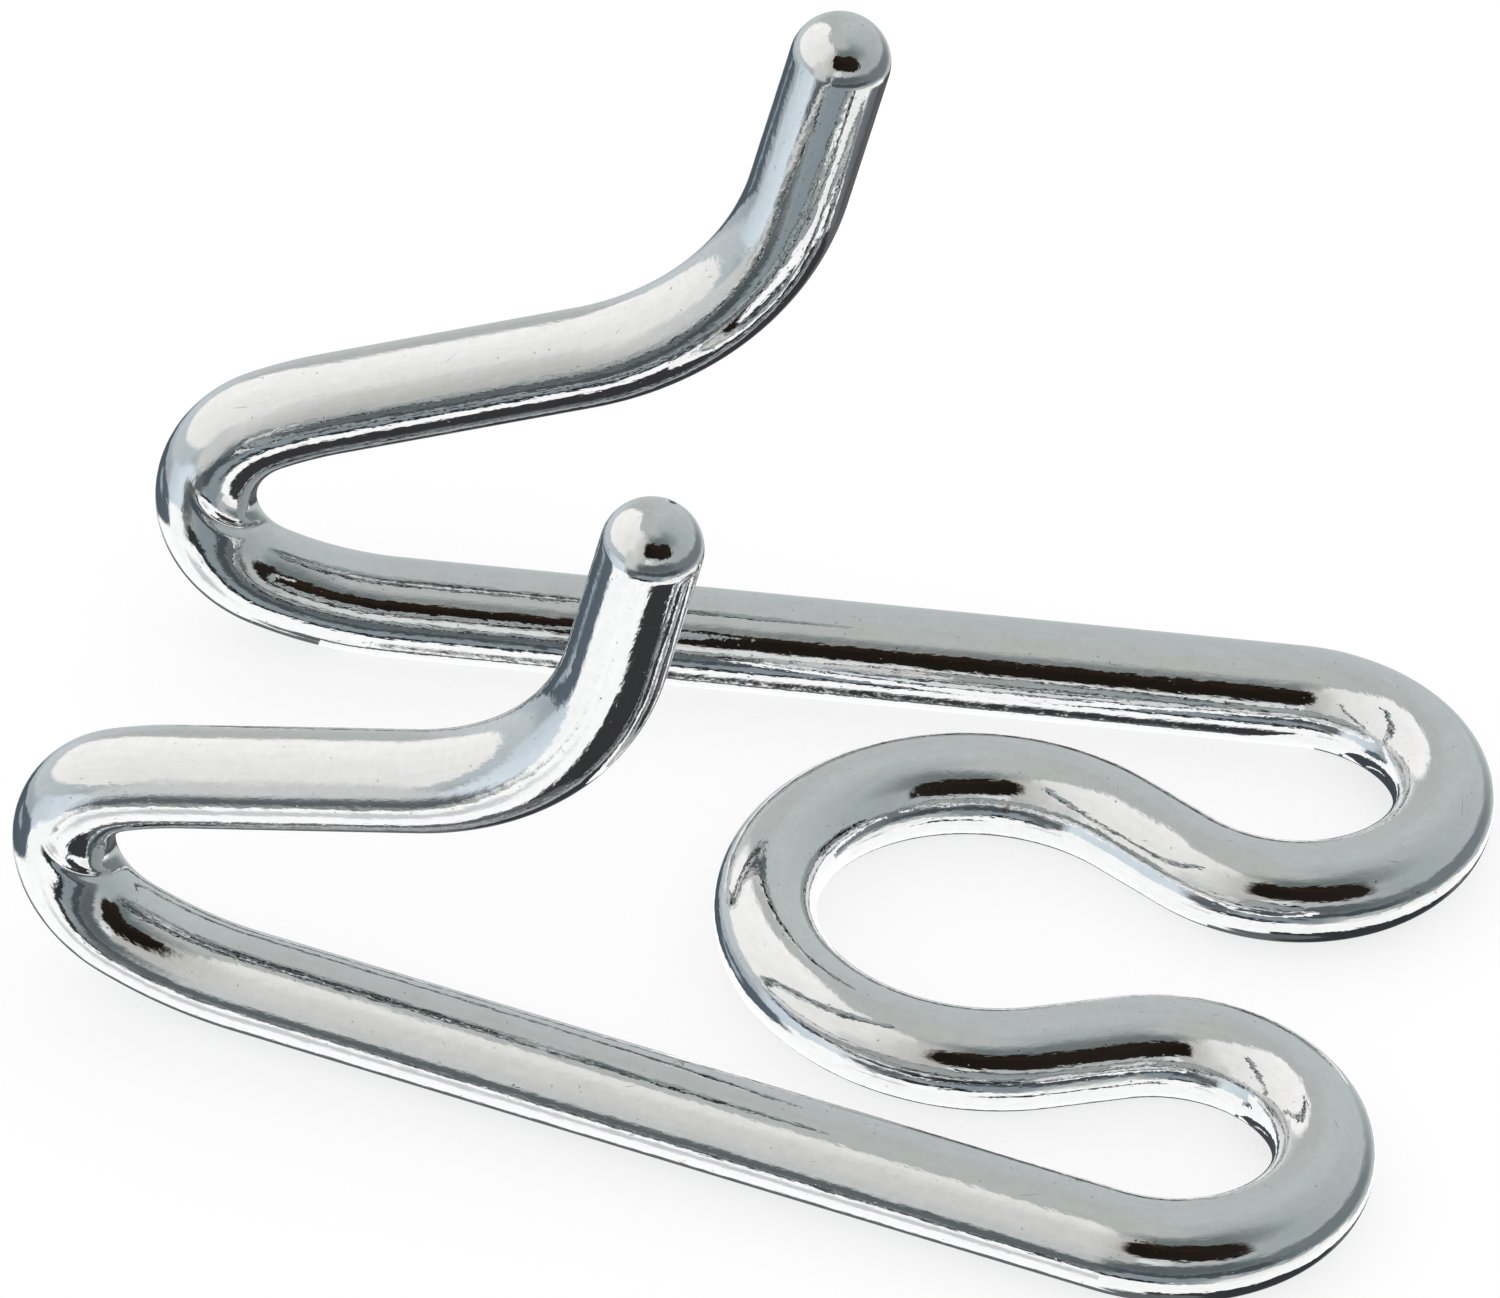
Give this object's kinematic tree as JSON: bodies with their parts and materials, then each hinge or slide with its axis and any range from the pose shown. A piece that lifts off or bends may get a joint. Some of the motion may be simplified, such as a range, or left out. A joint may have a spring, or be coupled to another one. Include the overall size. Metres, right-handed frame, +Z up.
{
  "type": "prong collar link",
  "caption": "Prong collar link bent from one round wire: a flat omega base with eyes, hooks that turn back over the legs, and blunt upright prongs.",
  "frame": {"origin": "middle of the part's box in X and Y, on the surface that the flat base rests on", "axes": "+X from the hooks to the eyes, along the base; +Z up, along the prongs; the part is symmetric about the XZ plane"},
  "size_m": [0.0542, 0.039, 0.0319],
  "materials": {
    "chrome_wire": "polished chrome plate on steel wire, with fine bending marks and light scratches"
  },
  "bodies": {
    "root": {"link_wire": "chrome_wire"}
  },
  "joints": []
}
